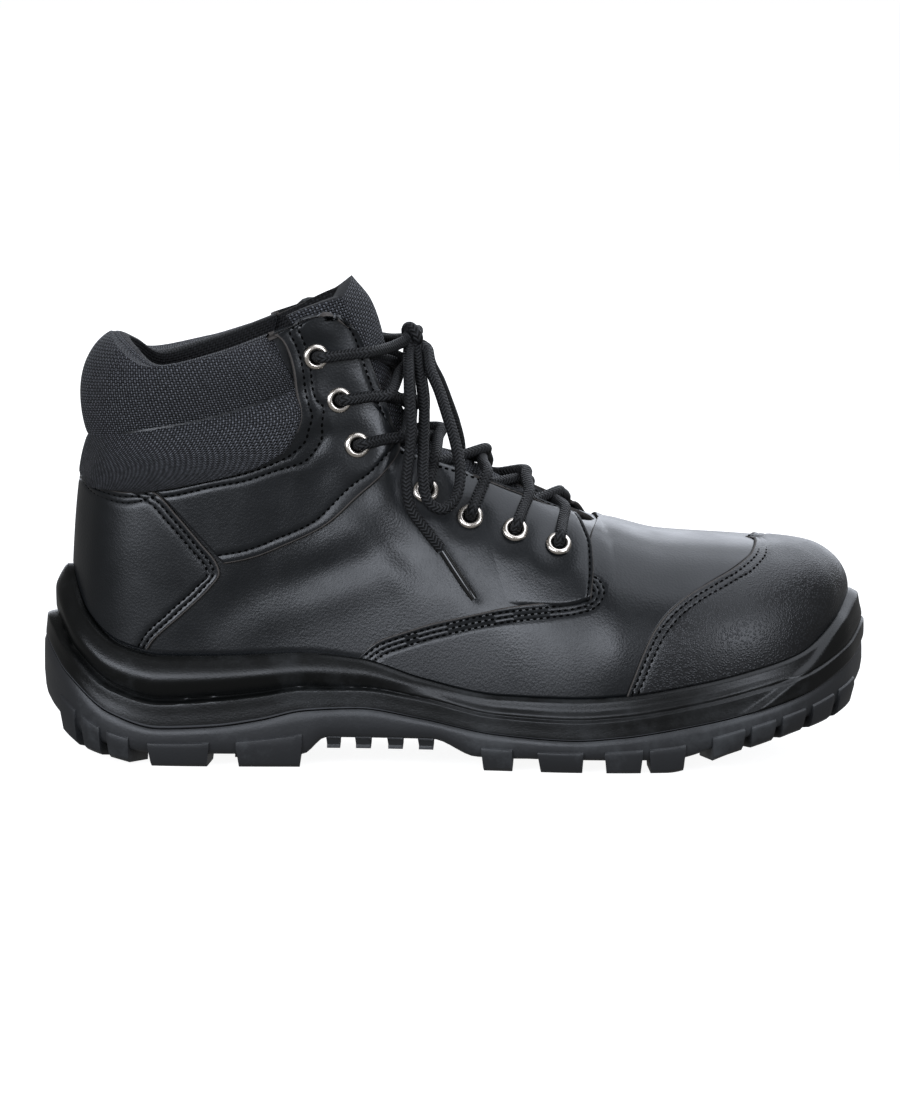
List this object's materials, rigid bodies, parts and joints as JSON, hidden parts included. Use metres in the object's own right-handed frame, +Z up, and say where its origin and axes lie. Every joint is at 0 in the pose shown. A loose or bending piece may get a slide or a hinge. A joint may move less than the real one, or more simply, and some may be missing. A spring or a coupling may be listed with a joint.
{
  "type": "safety boot",
  "caption": "Black lace-up ankle safety boot with a grained toe cap, padded woven collar and tongue, nickel eyelets and a lugged cup sole.",
  "frame": {"origin": "centre of the bounding box on the floor under the sole", "axes": "+X toe, +Y inner side of the right foot, +Z up"},
  "size_m": [0.311, 0.1151, 0.18],
  "materials": {
    "aglet_plastic": "heat-shrunk plastic",
    "nylon": "coarse woven nylon",
    "black_leather": "smooth semi-gloss full-grain leather",
    "nickel": "nickel plated brass",
    "felt": "needled felt",
    "lace_braid": "round braided polyester",
    "foam_rubber": "semi-gloss moulded polyurethane foam",
    "tread_rubber": "matt moulded rubber",
    "grained_leather": "pebble-grained scuff leather"
  },
  "bodies": {
    "root": {"aglet_lateral": "aglet_plastic", "aglet_medial": "aglet_plastic", "collar_cuff": "nylon", "counter": "black_leather", "eyelet_lateral_1": "nickel", "eyelet_lateral_2": "nickel", "eyelet_lateral_3": "nickel", "eyelet_lateral_4": "nickel", "eyelet_lateral_5": "nickel", "eyelet_lateral_6": "nickel", "eyelet_lateral_7": "nickel", "eyelet_medial_1": "nickel", "eyelet_medial_2": "nickel", "eyelet_medial_3": "nickel", "eyelet_medial_4": "nickel", "eyelet_medial_5": "nickel", "eyelet_medial_6": "nickel", "eyelet_medial_7": "nickel", "eyestay_lateral": "black_leather", "eyestay_medial": "black_leather", "insole": "felt", "lace_crossing_1": "lace_braid", "lace_crossing_2": "lace_braid", "lace_crossing_3": "lace_braid", "lace_crossing_4": "lace_braid", "lace_crossing_5": "lace_braid", "lace_crossing_6": "lace_braid", "lace_end_lateral": "lace_braid", "lace_end_medial": "lace_braid", "lace_knot": "lace_braid", "lace_loop_lateral": "lace_braid", "lace_loop_medial": "lace_braid", "lace_top_lateral": "lace_braid", "lace_top_medial": "lace_braid", "midsole": "foam_rubber", "outsole": "tread_rubber", "toe_cap": "grained_leather", "tongue": "nylon", "upper": "black_leather", "vamp": "black_leather"}
  },
  "joints": []
}
